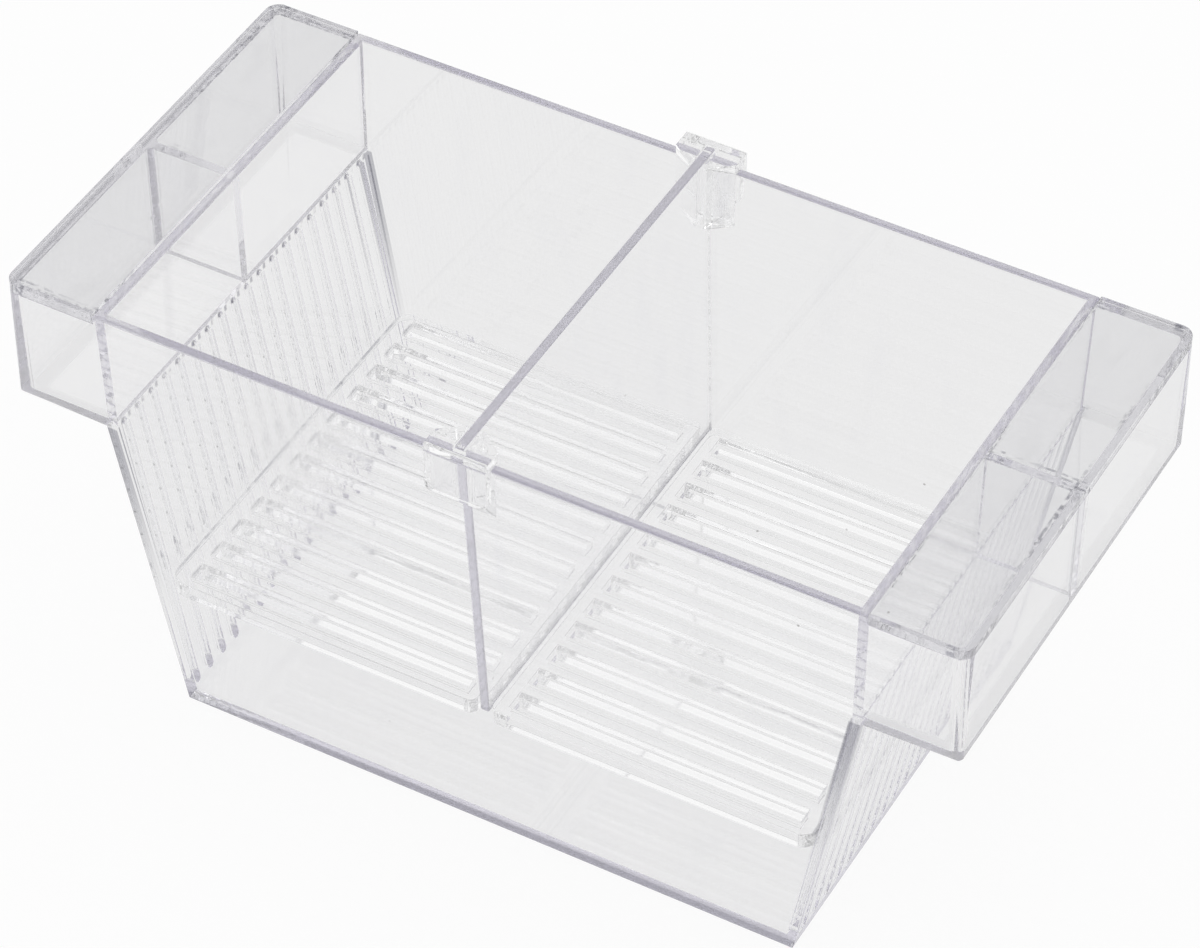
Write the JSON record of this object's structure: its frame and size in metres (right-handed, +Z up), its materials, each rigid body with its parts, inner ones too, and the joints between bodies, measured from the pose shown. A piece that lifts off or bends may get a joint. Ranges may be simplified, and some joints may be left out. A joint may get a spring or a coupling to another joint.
{
  "type": "fish breeding box",
  "caption": "Clear floating breeding box with sealed float chambers, slotted end walls, slotted floor trays and a divider held by clips.",
  "frame": {"origin": "centre of the underside of the tub's floor", "axes": "+X along the box from one float chamber to the other, +Y from the front to the back, +Z up"},
  "size_m": [0.2, 0.0996, 0.0999],
  "materials": {
    "clear_body": "clear, polished, with a faint lavender tint at the edges",
    "clear_cover": "clear, polished, bonded along its edge",
    "clear_tray": "clear, polished",
    "clear_divider": "clear, polished",
    "clear_clip": "clear, polished"
  },
  "bodies": {
    "tub": {"tub": "clear_body", "float_cover_left": "clear_cover", "float_cover_right": "clear_cover"},
    "tray_left": {"tray_left": "clear_tray"},
    "tray_right": {"tray_right": "clear_tray"},
    "divider": {"divider": "clear_divider"},
    "clip_front": {"clip_front": "clear_clip"},
    "clip_back": {"clip_back": "clear_clip"}
  },
  "joints": [
    {"name": "divider_lift", "type": "slide", "parent": "tub", "child": "divider", "axis": [-0.0354, 0, 0.9994], "range_m": [0, 0.08]},
    {"name": "clip_front_lift", "type": "slide", "parent": "tub", "child": "clip_front", "axis": [-0.0354, 0, 0.9994], "range_m": [0, 0.025]},
    {"name": "clip_back_lift", "type": "slide", "parent": "tub", "child": "clip_back", "axis": [-0.0354, 0, 0.9994], "range_m": [0, 0.025]},
    {"name": "tray_left_lift", "type": "slide", "parent": "tub", "child": "tray_left", "axis": [-0.1, 0, 0.995], "range_m": [0, 0.08]},
    {"name": "tray_right_lift", "type": "slide", "parent": "tub", "child": "tray_right", "axis": [0.1, 0, 0.995], "range_m": [0, 0.08]}
  ]
}
